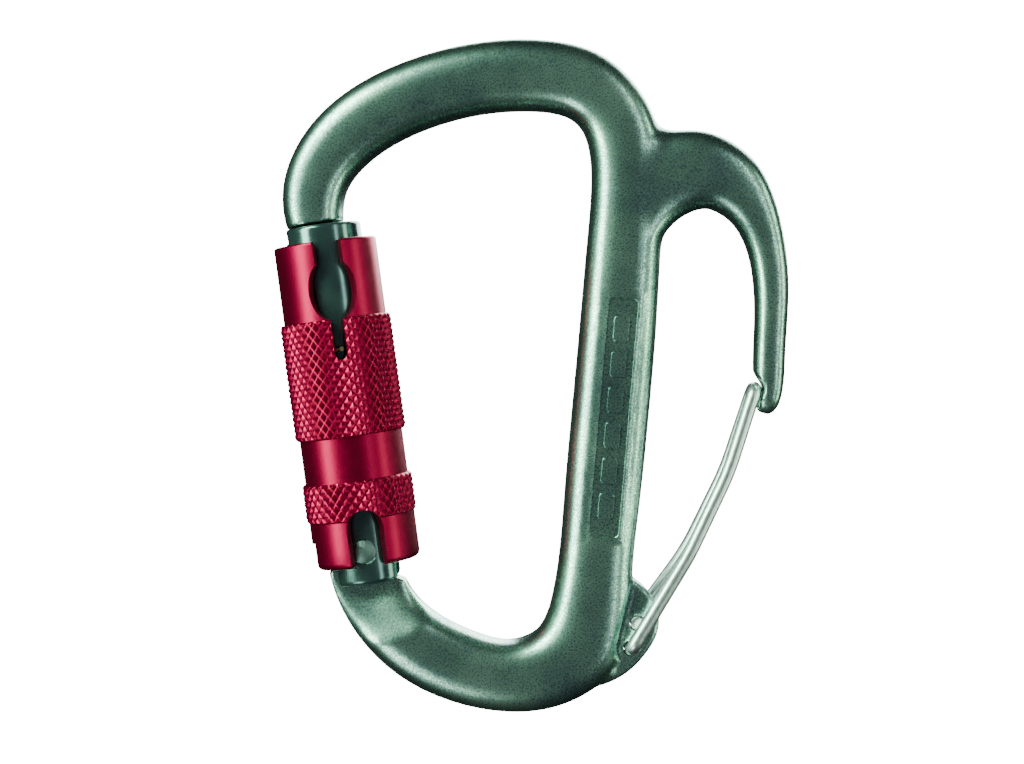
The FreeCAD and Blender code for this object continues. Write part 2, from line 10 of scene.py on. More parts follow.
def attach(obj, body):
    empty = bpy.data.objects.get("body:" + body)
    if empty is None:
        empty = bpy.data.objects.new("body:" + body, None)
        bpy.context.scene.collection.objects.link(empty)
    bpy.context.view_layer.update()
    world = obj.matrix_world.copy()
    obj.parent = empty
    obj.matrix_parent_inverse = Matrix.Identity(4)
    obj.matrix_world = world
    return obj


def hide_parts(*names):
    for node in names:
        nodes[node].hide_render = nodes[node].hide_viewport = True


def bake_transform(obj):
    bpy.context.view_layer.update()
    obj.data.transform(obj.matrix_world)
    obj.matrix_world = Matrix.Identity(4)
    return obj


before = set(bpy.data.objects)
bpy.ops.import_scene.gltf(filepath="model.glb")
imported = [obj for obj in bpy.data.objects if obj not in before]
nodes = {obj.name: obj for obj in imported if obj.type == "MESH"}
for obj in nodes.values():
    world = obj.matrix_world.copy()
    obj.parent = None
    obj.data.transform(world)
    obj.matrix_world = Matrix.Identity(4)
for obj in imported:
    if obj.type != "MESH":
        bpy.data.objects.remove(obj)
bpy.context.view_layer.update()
MM = 0.001

# ---- sizes shared with the CAD part, millimetres ---------------------------------------
HINGE = np.array([-24.2, 0.0, -68.7])
NOSE = np.array([-31.1, 0.0, -17.97])
GATE_LENGTH = float(np.linalg.norm(NOSE - HINGE))
LEAN = math.atan2(HINGE[0] - NOSE[0], NOSE[2] - HINGE[2])
SLEEVE_TURN = math.radians(6.5)
GATE_X = np.array([math.cos(LEAN), 0.0, math.sin(LEAN)])
GATE_Y = np.array([0.0, 1.0, 0.0])
GATE_Z = np.array([-math.sin(LEAN), 0.0, math.cos(LEAN)])
RIVET_SEAT_RADIUS = 1.97
RIVET_HOLE_RADIUS = 1.56
WIRE_RADIUS = 1.1
WIRE_HOLE_RADIUS = 1.22
WIRE_FRONT = (17.4, -84.2)
WIRE_REAR = (18.4, -80.3)
LUG_HALF = 2.2
SMOOTH_ANGLE = 35.0


def on_gate(points):
    """Place in the frame of points drawn about the gate's hinge, with Z up its axis."""
    p = np.asarray(points, float)
    return HINGE + p[:, :1] * GATE_X + p[:, 1:2] * GATE_Y + p[:, 2:3] * GATE_Z


def on_sleeve(points):
    """Gate place of a point drawn for the sleeve with its windows straight at the front."""
    p = np.asarray(points, float)
    c, s = math.cos(SLEEVE_TURN), math.sin(SLEEVE_TURN)
    return on_gate(np.stack([p[:, 0] * c - p[:, 1] * s, p[:, 0] * s + p[:, 1] * c, p[:, 2]], 1))


# ---- mesh helpers ----------------------------------------------------------------------
def mesh_object(name, verts, faces):
    mesh = bpy.data.meshes.new(name)
    mesh.from_pydata((np.asarray(verts, float) * MM).tolist(), [], faces)
    mesh.validate()
    obj = bpy.data.objects.new(name, mesh)
    bpy.context.scene.collection.objects.link(obj)
    shade(obj, SMOOTH_ANGLE)
    return obj


def shade(obj, smooth_deg):
    mesh = obj.data
    mesh.polygons.foreach_set("use_smooth", [True] * len(mesh.polygons))
    mesh.set_sharp_from_angle(angle=math.radians(smooth_deg))
    mesh.update()


def loft(rings):
    """Vertices and faces of a closed skin through rings with the same number of points."""
    count = len(rings[0])
    verts = np.concatenate(rings)
    faces = []
    for k in range(len(rings) - 1):
        a = k * count
        b = a + count
        for i in range(count):
            j = (i + 1) % count
            faces.append((a + i, a + j, b + j, b + i))
    faces.append(tuple(range(count))[::-1])
    faces.append(tuple(range((len(rings) - 1) * count, len(rings) * count)))
    return verts, faces


def recalculated(obj):
    """Make every face point outwards."""
    bm = bmesh.new()
    bm.from_mesh(obj.data)
    bmesh.ops.recalc_face_normals(bm, faces=bm.faces)
    bm.to_mesh(obj.data)
    bm.free()
    return obj


def boolean(obj, tool):
    """Cut the tool out of the object."""
    mod = obj.modifiers.new("b", "BOOLEAN")
    mod.object = tool
    mod.operation = "DIFFERENCE"
    mod.solver = "MANIFOLD"
    apply_modifiers(obj)
    bpy.data.objects.remove(tool)
    return obj


def apply_modifiers(obj):
    bpy.context.view_layer.update()
    graph = bpy.context.evaluated_depsgraph_get()
    made = bpy.data.meshes.new_from_object(obj.evaluated_get(graph))
    obj.modifiers.clear()
    old = obj.data
    obj.data = made
    made.name = old.name
    bpy.data.meshes.remove(old)
    return obj


def prism(name, outline, low, high, frame_of=None):
    """Outline of (x, z) pushed from y = low to y = high, then placed by frame_of if there is one."""
    rings = [np.array([[x, y, z] for x, z in outline]) for y in (low, high)]
    verts, faces = loft(rings)
    if frame_of is not None:
        verts = frame_of(verts)
    return recalculated(mesh_object(name, verts, faces))


def cylinder_y(name, radius, x, z, low, high, count=48):
    ring = [(x + radius * math.cos(2 * math.pi * k / count),
             z + radius * math.sin(2 * math.pi * k / count)) for k in range(count)]
    return prism(name, ring, low, high)


def tube_along(path, radius, sides=24, end_shape=()):
    """Round bar along a path of points; end_shape is (distance out, radius) rings added at both ends."""
    path = np.asarray(path, float)
    tangents = np.gradient(path, axis=0)
    tangents /= np.linalg.norm(tangents, axis=1)[:, None]
    side = np.cross(tangents[0], [0.3, 0.1, 1.0])
    side /= np.linalg.norm(side)
    rings = []
    angles = np.linspace(0, 2 * math.pi, sides, endpoint=False)
    frames = []
    for p, t in zip(path, tangents):
        side = side - t * np.dot(side, t)
        side /= np.linalg.norm(side)
        frames.append((p, t, side.copy(), np.cross(t, side)))
    first, last = frames[0], frames[-1]

    def ring(p, s, u, r):
        return p + r * (np.cos(angles)[:, None] * s + np.sin(angles)[:, None] * u)

    for out, r in reversed(end_shape):
        rings.append(ring(first[0] - first[1] * out, first[2], first[3], r))
    for p, t, s, u in frames:
        rings.append(ring(p, s, u, radius))
    for out, r in end_shape:
        rings.append(ring(last[0] + last[1] * out, last[2], last[3], r))
    return loft(rings)


# ---- materials -------------------------------------------------------------------------
RING_PITCH = 0.3 * MM


def new_material(name):
    mat = bpy.data.materials.new(name)
    mat.use_nodes = True
    tree = mat.node_tree
    tree.nodes.clear()
    out = tree.nodes.new("ShaderNodeOutputMaterial")
    bsdf = tree.nodes.new("ShaderNodeBsdfPrincipled")
    tree.links.new(bsdf.outputs[0], out.inputs[0])
    return mat, tree, bsdf


def coords(tree):
    return tree.nodes.new("ShaderNodeTexCoord").outputs["Object"]


def noise(tree, vector, scale, detail=2.0, rough=0.5):
    node = tree.nodes.new("ShaderNodeTexNoise")
    node.inputs["Scale"].default_value = scale
    node.inputs["Detail"].default_value = detail
    node.inputs["Roughness"].default_value = rough
    tree.links.new(vector, node.inputs["Vector"])
    return node.outputs["Fac"]


def ramp(tree, value, stops):
    node = tree.nodes.new("ShaderNodeValToRGB")
    while len(node.color_ramp.elements) < len(stops):
        node.color_ramp.elements.new(0.5)
    for element, (place, colour) in zip(node.color_ramp.elements, stops):
        element.position = place
        element.color = (*colour, 1.0)
    tree.links.new(value, node.inputs[0])
    return node.outputs[0]


def remap(tree, value, low, high, to_low, to_high):
    node = tree.nodes.new("ShaderNodeMapRange")
    node.inputs["From Min"].default_value = low
    node.inputs["From Max"].default_value = high
    node.inputs["To Min"].default_value = to_low
    node.inputs["To Max"].default_value = to_high
    tree.links.new(value, node.inputs["Value"])
    return node.outputs[0]


def bump(tree, height, distance, strength, below=None):
    node = tree.nodes.new("ShaderNodeBump")
    node.inputs["Distance"].default_value = distance
    node.inputs["Strength"].default_value = strength
    tree.links.new(height, node.inputs["Height"])
    if below is not None:
        tree.links.new(below, node.inputs["Normal"])
    return node.outputs[0]


def soft_edge(tree, radius):
    node = tree.nodes.new("ShaderNodeBevel")
    node.samples = 4
    node.inputs["Radius"].default_value = radius
    return node.outputs[0]


def frame_material():
    mat, tree, bsdf = new_material("frame_anodised")
    at = coords(tree)
    grain = noise(tree, at, 3600.0, 3.0, 0.7)
    cloud = noise(tree, at, 90.0, 3.0, 0.55)
    mix = tree.nodes.new("ShaderNodeMath")
    mix.operation = "MULTIPLY_ADD"
    mix.inputs[1].default_value = 0.35
    tree.links.new(cloud, mix.inputs[0])
    tree.links.new(grain, mix.inputs[2])
    colour = ramp(tree, mix.outputs[0], [(0.46, (0.095, 0.150, 0.178)), (0.63, (0.225, 0.360, 0.350)),
                                         (0.84, (0.60, 0.92, 0.72))])
    tree.links.new(colour, bsdf.inputs["Base Color"])
    tree.links.new(remap(tree, grain, 0.3, 0.75, 0.37, 0.23), bsdf.inputs["Roughness"])
    bsdf.inputs["Metallic"].default_value = 1.0
    tree.links.new(bump(tree, grain, 0.00003, 0.14), bsdf.inputs["Normal"])
    return mat


def barrel_material():
    mat, tree, bsdf = new_material("barrel_anodised")
    at = coords(tree)
    cloud = noise(tree, at, 220.0, 3.0)
    colour = ramp(tree, cloud, [(0.35, (0.075, 0.135, 0.140)), (0.7, (0.110, 0.185, 0.185))])
    tree.links.new(colour, bsdf.inputs["Base Color"])
    tree.links.new(remap(tree, cloud, 0.3, 0.7, 0.17, 0.24), bsdf.inputs["Roughness"])
    bsdf.inputs["Metallic"].default_value = 0.85
    bsdf.inputs["Coat Weight"].default_value = 0.5
    bsdf.inputs["Coat Roughness"].default_value = 0.12
    tree.links.new(bump(tree, noise(tree, at, 2600.0), 0.00001, 0.08, soft_edge(tree, 0.00025)),
                   bsdf.inputs["Normal"])
    return mat


def sleeve_material():
    mat, tree, bsdf = new_material("sleeve_red")
    at = coords(tree)
    cloud = noise(tree, at, 160.0, 4.0)
    colour = ramp(tree, cloud, [(0.3, (0.30, 0.0010, 0.034)), (0.72, (0.35, 0.0012, 0.042))])
    tree.links.new(colour, bsdf.inputs["Base Color"])
    fine = noise(tree, at, 1800.0, 3.0)
    tree.links.new(remap(tree, fine, 0.3, 0.7, 0.35, 0.39), bsdf.inputs["Roughness"])
    bsdf.inputs["Metallic"].default_value = 0.94
    bsdf.inputs["Coat Weight"].default_value = 0.05
    bsdf.inputs["Coat Roughness"].default_value = 0.25
    return mat


def metal(name, dark, light, rough_low, rough_high):
    mat, tree, bsdf = new_material(name)
    at = coords(tree)
    cloud = noise(tree, at, 900.0, 3.0)
    tree.links.new(ramp(tree, cloud, [(0.3, dark), (0.7, light)]), bsdf.inputs["Base Color"])
    tree.links.new(remap(tree, cloud, 0.3, 0.7, rough_low, rough_high), bsdf.inputs["Roughness"])
    bsdf.inputs["Metallic"].default_value = 1.0
    return mat, tree, bsdf, at


def rivet_material():
    """Burnished steel with fine turned rings about the rivet's axis."""
    mat, tree, bsdf, at = metal("rivet_steel", (0.16, 0.25, 0.24), (0.26, 0.38, 0.36), 0.42, 0.50)
    shift = tree.nodes.new("ShaderNodeVectorMath")
    shift.operation = "SUBTRACT"
    shift.inputs[1].default_value = tuple(HINGE * MM)
    tree.links.new(at, shift.inputs[0])
    flat = tree.nodes.new("ShaderNodeVectorMath")
    flat.operation = "MULTIPLY"
    flat.inputs[1].default_value = (1.0, 0.0, 1.0)
    tree.links.new(shift.outputs[0], flat.inputs[0])
    size = tree.nodes.new("ShaderNodeVectorMath")
    size.operation = "LENGTH"
    tree.links.new(flat.outputs[0], size.inputs[0])
    wave = tree.nodes.new("ShaderNodeMath")
    wave.operation = "MULTIPLY"
    wave.inputs[1].default_value = 2 * math.pi / RING_PITCH
    tree.links.new(size.outputs["Value"], wave.inputs[0])
    sine = tree.nodes.new("ShaderNodeMath")
    sine.operation = "SINE"
    tree.links.new(wave.outputs[0], sine.inputs[0])
    tree.links.new(bump(tree, sine.outputs[0], 0.00002, 0.30), bsdf.inputs["Normal"])
    return mat


def wire_material():
    mat, tree, bsdf, at = metal("steel_wire", (0.86, 0.92, 0.92), (0.93, 0.97, 0.97), 0.30, 0.36)
    tree.links.new(bump(tree, noise(tree, at, 2500.0, 2.0), 0.00001, 0.02), bsdf.inputs["Normal"])
    return mat


FRAME_LOOK = frame_material()
BARREL_LOOK = barrel_material()
SLEEVE_LOOK = sleeve_material()
RIVET_LOOK = rivet_material()
WIRE_LOOK = wire_material()
SPRING_LOOK = metal("spring_steel", (0.55, 0.45, 0.24), (0.74, 0.64, 0.40), 0.22, 0.34)[0]
BRASS_LOOK = metal("plunger_brass", (0.55, 0.42, 0.18), (0.72, 0.58, 0.30), 0.24, 0.36)[0]


def dress(obj, mat):
    obj.data.materials.clear()
    obj.data.materials.append(mat)
    return obj


# ---- forged frame ----------------------------------------------------------------------
SPINE_TOP = np.array([16.1, -29.5])
SPINE_LOW = np.array([12.9, -66.5])
BAR_HALF = 5.0
SECTION_POWER = 2.7
BAR_HEIGHTS = [-72.0, -61.0, -47.5, -34.0, -20.5]
BAR_WIDTHS = [11.9, 12.0, 12.2, 12.1, 11.7]
PANEL_LENGTH = float(np.linalg.norm(SPINE_LOW - SPINE_TOP))
PANEL_ALONG = (SPINE_LOW - SPINE_TOP) / PANEL_LENGTH
PANEL_ACROSS = np.array([-PANEL_ALONG[1], PANEL_ALONG[0]])
PANEL_HALF = 2.3
PANEL_DEPTH = 0.35
PANEL_END = 2.0
RAISED_BARS = 6
RAISED_SHARE = 0.72


def spine_coordinates(x, z):
    """Distance along the spine from the panel's top, and across it from its middle line."""
    dx = x - SPINE_TOP[0]
    dz = z - SPINE_TOP[1]
    return dx * PANEL_ALONG[0] + dz * PANEL_ALONG[1], dx * PANEL_ACROSS[0] + dz * PANEL_ACROSS[1]


def neighbours(mesh):
    edges = np.zeros(len(mesh.edges) * 2, np.int64)
    mesh.edges.foreach_get("vertices", edges)
    return edges.reshape(-1, 2)


def mean_step(co, edges, degree):
    total = np.zeros_like(co)
    for axis in range(3):
        total[:, axis] = np.bincount(edges[:, 0], co[edges[:, 1], axis], len(co)) \
            + np.bincount(edges[:, 1], co[edges[:, 0], axis], len(co))
    return total / degree[:, None] - co


def vertex_normals(obj, co):
    obj.data.vertices.foreach_set("co", (co * MM).ravel())
    obj.data.update()
    normals = np.zeros(len(co) * 3, np.float32)
    obj.data.vertex_normals.foreach_get("vector", normals)
    return normals.reshape(-1, 3).astype(float)


def bell(co, x, z, half_x, half_z):
    """Weight that is 1 about (x, z) and falls to 0 past the half widths."""
    return np.exp(-(((co[:, 0] - x) / half_x) ** 4) - (((co[:, 2] - z) / half_z) ** 4))


def even_out(co, edges, degree, rounds):
    """Smoothing that takes the voxel steps away without shrinking the bar."""
    for _ in range(rounds):
        co = co + 0.5 * mean_step(co, edges, degree)
        co = co - 0.53 * mean_step(co, edges, degree)
    return co


def fill_panel(co):
    """Fill the shallow panel, which is cut again with crisp edges further down."""
    along, across = spine_coordinates(co[:, 0], co[:, 2])
    inside = (along > -0.9) & (along < PANEL_LENGTH + 0.9)
    inside &= (np.abs(across) < PANEL_HALF + 0.8) & (np.abs(co[:, 1]) > 3.0)
    width = np.interp(co[:, 2], BAR_HEIGHTS, BAR_WIDTHS)
    share = np.clip(np.abs(2 * across / width), 0, 1)
    level = BAR_HALF * (1 - share ** SECTION_POWER) ** (1 / SECTION_POWER)
    co[inside, 1] = np.sign(co[inside, 1]) * level[inside]


def fill_hollows(obj, co, edges, degree):
    """Forged fillets at the spur's root and under the lug: hollows fill, outer corners stay."""
    zone = bell(co, 20.5, -13.0, 6.5, 15.0)
    zone += bell(co, 13.5, -90.6, 3.2, 2.2)
    picked = zone > 0.01
    for step in range(120):
        if step % 6 == 0:
            normals = vertex_normals(obj, co)
        move = mean_step(co, edges, degree)
        lift = np.clip((move * normals).sum(1), 0, None)
        co[picked] += (0.9 * zone[picked] * lift[picked])[:, None] * normals[picked]


def soften_relief(co, edges, degree):
    """Let the thinning towards the hinge run out softly."""
    far = np.hypot(co[:, 0] - HINGE[0], co[:, 2] - HINGE[2])
    calm = np.exp(-(((far - 10.6) / 3.0) ** 4)) * np.clip((np.abs(co[:, 1]) - 2.2) / 1.6, 0, 1)
    for _ in range(150):
        co += (0.8 * calm)[:, None] * mean_step(co, edges, degree)


def forged_frame():
    """The CAD frame remeshed and smoothed like a forging, with its crisp cuts made again."""
    source = nodes["frame"]
    obj = bpy.data.objects.new("frame_forging", source.data.copy())
    bpy.context.scene.collection.objects.link(obj)
    mod = obj.modifiers.new("r", "REMESH")
    mod.mode = "VOXEL"
    mod.voxel_size = 0.35 * MM
    apply_modifiers(obj)
    mesh = obj.data
    co = np.zeros(len(mesh.vertices) * 3)
    mesh.vertices.foreach_get("co", co)
    co = co.reshape(-1, 3) / MM
    edges = neighbours(mesh)
    degree = np.bincount(edges.ravel(), minlength=len(co)).astype(float)
    fill_panel(co)
    co = even_out(co, edges, degree, 6)
    fill_hollows(obj, co, edges, degree)
    soften_relief(co, edges, degree)
    co = even_out(co, edges, degree, 3)
    vertex_normals(obj, co)
    for side in (-1, 1):
        boolean(obj, panel_cutter(side))
        boolean(obj, pocket_slope(side))
    for radius, x, z in ((RIVET_HOLE_RADIUS, HINGE[0], HINGE[2]), (WIRE_HOLE_RADIUS, *WIRE_FRONT),
                         (WIRE_HOLE_RADIUS, *WIRE_REAR)):
        boolean(obj, cylinder_y("hole", radius, x, z, -6, 6))
    shade(obj, 38.0)
    return obj


def pocket_slope(side):
    """Sloping wall from the bar's face down to the lug's flat."""
    rings = []
    for y, top, low, bend, end in ((2.25, (17.9, -72.4), (15.1, -83.4), (15.3, -85.9), (17.3, -88.0)),
                                   (5.6, (16.6, -71.6), (13.5, -83.6), (13.9, -87.0), (16.6, -89.8))):
        pull = [1.6 * bend[i] - 0.3 * (low[i] + end[i]) for i in (0, 1)]
        curve = [top, low]
        for k in range(1, 9):
            t = k / 8
            curve.append(tuple((1 - t) ** 2 * low[i] + 2 * t * (1 - t) * pull[i] + t * t * end[i]
                               for i in (0, 1)))
        curve += [(26.0, end[1]), (26.0, top[1])]
        rings.append(np.array([[x, side * y, z] for x, z in curve]))
    verts, faces = loft(rings)
    return recalculated(mesh_object("slope", verts, faces))


def rounded_rectangle(x0, x1, y0, y1, radius, steps=6):
    points = []
    for cx, cy, start in ((x1 - radius, y1 - radius, 0), (x0 + radius, y1 - radius, 90),
                          (x0 + radius, y0 + radius, 180), (x1 - radius, y0 + radius, 270)):
        for k in range(steps + 1):
            angle = math.radians(start + 90 * k / steps)
            points.append((cx + radius * math.cos(angle), cy + radius * math.sin(angle)))
    return points


def panel_cutter(side):
    """Shallow panel with rounded ends, round six plain raised bars."""
    def block(begin, end, half, radius, grow):
        rings = []
        for depth, extra in ((PANEL_DEPTH, 0.0), (-0.8, grow)):
            outline = rounded_rectangle(begin - extra, end + extra, -half - extra, half + extra, radius)
            places = [SPINE_TOP + PANEL_ALONG * a + PANEL_ACROSS * b for a, b in outline]
            y = side * (BAR_HALF - depth)
            rings.append(np.array([[p[0], y, p[1]] for p in places]))
        verts, faces = loft(rings)
        return recalculated(mesh_object("block", verts, faces))

    panel = block(0.0, PANEL_LENGTH, PANEL_HALF, 0.9, 0.35)
    pitch = (PANEL_LENGTH - 2 * PANEL_END) / RAISED_BARS
    for k in range(RAISED_BARS):
        begin = PANEL_END + k * pitch + pitch * 0.14
        boolean(panel, block(begin, begin + pitch * RAISED_SHARE, PANEL_HALF - 1.1, 0.5, -0.3))
    return panel


# ---- knurled sleeve --------------------------------------------------------------------
SLEEVE_BORE = 6.4
SLEEVE_TOP = GATE_LENGTH - 2.7
SLEEVE_FOOT = -2.25
FOOT_RADIUS = 8.3
LOW_BAND_RADIUS = 8.75
MIDDLE_RADIUS = 8.1
HIGH_BAND_RADIUS = 8.8
TOP_RADIUS = 8.05
LOW_BAND = (5.05, 11.1)
HIGH_BAND = (18.0, 36.3)
STEP_HEIGHT = 4.2
DIAMONDS = 38
COLUMNS = DIAMONDS * 8
KNURL_DEPTH = 0.38


def knurl(angle, along, pitch):
    """Height, 0 to 1, of sharp diamonds."""
    u = angle / (2 * math.pi / DIAMONDS)
    v = along / pitch
    a = u + v
    b = u - v
    fa = np.abs(a - np.round(a))
    fb = np.abs(b - np.round(b))
    return np.clip(1.06 * (1 - 2 * np.maximum(fa, fb)), 0, 0.94)


def sleeve_rows():
    """(height, plain radius, knurl pitch or 0, distance to the band's nearer end) up the outside."""
    rows = []
    foot_z, low_z = LOW_BAND
    mid_z, high_z = HIGH_BAND
    for k in range(7):
        angle = math.radians(90 * k / 6)
        height = SLEEVE_FOOT + 1.0 - math.cos(angle)
        rows.append((height, FOOT_RADIUS - 0.9 + 0.9 * math.sin(angle), 0, 0))
    rows += [(z, FOOT_RADIUS, 0, 0) for z in (0.6, 2.2, 3.8, foot_z - 0.12, foot_z - 0.02)]

    def band(bottom, top, radius, repeats):
        pitch = (top - bottom) / repeats
        count = int(round(repeats * 8))
        step = (top - bottom) / count
        return [(bottom + (top - bottom) * k / count, radius, pitch, min(k, count - k) * step)
                for k in range(count + 1)]

    rows += band(foot_z, low_z, LOW_BAND_RADIUS, 3.25)
    rows += [(z, MIDDLE_RADIUS, 0, 0)
             for z in (low_z + 0.02, low_z + 0.14, 13.2, 15.6, mid_z - 0.14, mid_z - 0.02)]
    rows += band(mid_z, high_z, HIGH_BAND_RADIUS, 10.0)
    rows += [(z, TOP_RADIUS, 0, 0)
             for z in (high_z + 0.02, high_z + 0.14, 39.0, 42.0, 45.0, SLEEVE_TOP - 0.45)]
    for k in range(1, 6):
        angle = math.radians(90 * k / 5)
        height = SLEEVE_TOP - 0.4 + 0.4 * math.sin(angle)
        rows.append((height, TOP_RADIUS - 0.4 + 0.4 * math.cos(angle), 0, 0))
    return rows


def knurled_sleeve():
    """Rings up the outside and down the bore, closed into one skin, then cut open."""
    rows = sleeve_rows()
    angles = np.arange(COLUMNS) * 2 * math.pi / COLUMNS
    rings = []
    for z, radius, pitch, edge in rows:
        if pitch:
            lift = knurl(angles, (z - rows[0][0]), pitch)
            r = radius - KNURL_DEPTH + KNURL_DEPTH * lift
            r = np.minimum(r, radius - KNURL_DEPTH - 0.05 + 1.1 * edge)
        else:
            r = np.full(COLUMNS, radius)
        rings.append(np.stack([r * np.sin(angles), -r * np.cos(angles), np.full(COLUMNS, z)], 1))
    inner = [(SLEEVE_TOP, SLEEVE_BORE + 0.2), (SLEEVE_TOP - 0.2, SLEEVE_BORE)]
    inner += [(z, SLEEVE_BORE) for z in (36.0, 18.0, 6.0)]
    inner += [(SLEEVE_FOOT + 0.25, SLEEVE_BORE), (SLEEVE_FOOT, SLEEVE_BORE + 0.25)]
    for z, radius in inner:
        rings.append(np.stack([radius * np.sin(angles), -radius * np.cos(angles), np.full(COLUMNS, z)], 1))
    verts = np.concatenate(rings)
    faces = []
    count = COLUMNS
    total = len(rings)
    reach = np.hypot(verts[:, 0], verts[:, 1])
    for k in range(total):
        a, b = k * count, ((k + 1) % total) * count
        knurled = k + 1 < len(rows) and rows[k][2] and rows[k + 1][2]
        for i in range(count):
            j = (i + 1) % count
            if not knurled:
                faces.append((a + i, a + j, b + j, b + i))
                continue
            middle_angle = (i + 0.5) * 2 * math.pi / COLUMNS
            middle_z = (verts[a + i, 2] + verts[b + i, 2]) / 2 - rows[0][0]
            radius = rows[k][1]
            middle_lift = float(knurl(np.array(middle_angle), middle_z, rows[k][2]))
            true = radius - KNURL_DEPTH + KNURL_DEPTH * middle_lift
            first = abs((reach[a + i] + reach[b + j]) / 2 - true)
            second = abs((reach[a + j] + reach[b + i]) / 2 - true)
            if first < second:
                faces += [(a + i, a + j, b + j), (a + i, b + j, b + i)]
            else:
                faces += [(a + i, a + j, b + i), (a + j, b + j, b + i)]
    obj = recalculated(mesh_object("sleeve_knurled", on_sleeve(verts), faces))
    boolean(obj, radial_cutter(keyhole_outline(), TOP_RADIUS))
    boolean(obj, radial_cutter(u_outline(), FOOT_RADIUS))
    step = [(-11.0, SLEEVE_FOOT - 1.0), (-5.0, SLEEVE_FOOT - 1.0),
            (-5.0, SLEEVE_FOOT + STEP_HEIGHT), (-11.0, SLEEVE_FOOT + STEP_HEIGHT)]
    boolean(obj, prism("step", step, -2.6, 10.5, on_sleeve))
    shade(obj, 24.0)
    return obj


def radial_cutter(outline, radius):
    """Cutter through the front wall, narrowing to the axis; the outline is true at the radius."""
    rings = []
    for depth in (1.0, radius + 2):
        ring = np.array([[x * depth / radius, -depth, z] for x, z in outline])
        rings.append(on_sleeve(ring))
    verts, faces = loft(rings)
    return recalculated(mesh_object("cutter", verts, faces))


def keyhole_outline():
    """Channel from the rim, oval window, and narrow slot with a pointed end."""
    centre = SLEEVE_TOP - 7.7
    half_w, half_l, channel, slot, end = 4.15, 4.8, 4.6, 1.95, 29.8
    right = [(channel / 2 + 0.35, SLEEVE_TOP + 1), (channel / 2 + 0.22, SLEEVE_TOP - 0.1),
             (channel / 2, SLEEVE_TOP - 0.6)]
    first = math.asin(channel / 2 / half_w)
    last = math.pi - math.asin(slot / 2 / half_w)
    steps = 40
    for k in range(steps + 1):
        angle = first + (last - first) * k / steps
        right.append((half_w * math.sin(angle), centre + half_l * math.cos(angle)))
    right.append((slot / 2, end + 1.0))
    right.append((slot * 0.28, end + 0.3))
    right.append((0.0, end))
    left = [(-x, z) for x, z in reversed(right[:-1])]
    return right + left


def u_outline():
    """U notch at the sleeve's foot, in front of the rivet."""
    steps = 36
    half, top = 3.05, 6.6
    arch = []
    for k in range(steps + 1):
        angle = math.pi * k / steps
        arch.append((half * math.cos(angle), top - half + half * math.sin(angle)))
    flare = 0.35
    return [(half + flare, SLEEVE_FOOT - 1), (half, SLEEVE_FOOT + 0.9)] + arch + \
        [(-half, SLEEVE_FOOT + 0.9), (-half - flare, SLEEVE_FOOT - 1)]


# ---- gate barrel -----------------------------------------------------------------------
BARREL = 5.95


def round_corner(cx, cz, radius, start, end, steps=6):
    angles = [math.radians(start + (end - start) * k / steps) for k in range(steps + 1)]
    return [(cx + radius * math.cos(a), cz + radius * math.sin(a)) for a in angles]


def fork_barrel():
    """Turned barrel with its fork, ear flats, bore, rivet seats and key slot."""
    edge = 0.55
    foot = -5.2
    profile = [(0.001, foot)] + round_corner(BARREL - 0.8, foot + 0.8, 0.8, -90, 0)
    profile += [(BARREL, 4.0), (BARREL, 11.95), (BARREL - 0.6, 12.0), (BARREL - 0.6, 12.7), (BARREL, 12.75),
                (BARREL, 14.55), (5.3, 14.6), (5.3, 32.0), (BARREL, 32.05), (BARREL, 40.0), (BARREL, 46.0)]
    profile += round_corner(BARREL - edge, GATE_LENGTH - edge, edge, 0, 90)
    profile += [(0.001, GATE_LENGTH)]
    rings = []
    columns = 144
    for r, z in profile:
        angles = np.arange(columns) * 2 * math.pi / columns
        rings.append(np.stack([r * np.sin(angles), -r * np.cos(angles), np.full(columns, z)], 1))
    verts, faces = loft(rings)
    obj = recalculated(mesh_object("barrel_turned", on_gate(verts), faces))
    fork = rounded_rectangle(-2.6, 2.6, -9.0, 7.1, 0.5)
    rings = [on_gate(np.array([[x, y, z] for y, z in fork])) for x in (-9.0, 9.0)]
    verts, faces = loft(rings)
    boolean(obj, recalculated(mesh_object("fork", verts, faces)))
    for side in (-1, 1):
        inner = 4.6
        outline = [(inner - 0.7, -7.0), (9.0, -7.0), (9.0, 2.4)]
        outline += round_corner(inner + 0.8, 1.6, 0.8, 90, 180)
        outline += [(inner, -4.4), (inner - 0.2, -4.9), (inner - 0.7, foot)]
        outline = [(side * x, z) for x, z in outline]
        boolean(obj, prism("flat", outline, -9.0, 9.0, on_gate))
    bore = cylinder_along_gate(2.36, 1.0, 28.0)
    boolean(obj, bore)
    for low, high in ((-9.0, -5.7), (5.7, 9.0)):
        boolean(obj, cylinder_y("seat", RIVET_SEAT_RADIUS, HINGE[0], HINGE[2], low, high))
    boolean(obj, key_slot())
    shade(obj, 35.0)
    return obj


def cylinder_along_gate(radius, low, high, count=48):
    angles = np.arange(count) * 2 * math.pi / count
    rings = [on_gate(np.stack([radius * np.cos(angles), radius * np.sin(angles), np.full(count, z)], 1))
             for z in (low, high)]
    verts, faces = loft(rings)
    return recalculated(mesh_object("bore", verts, faces))


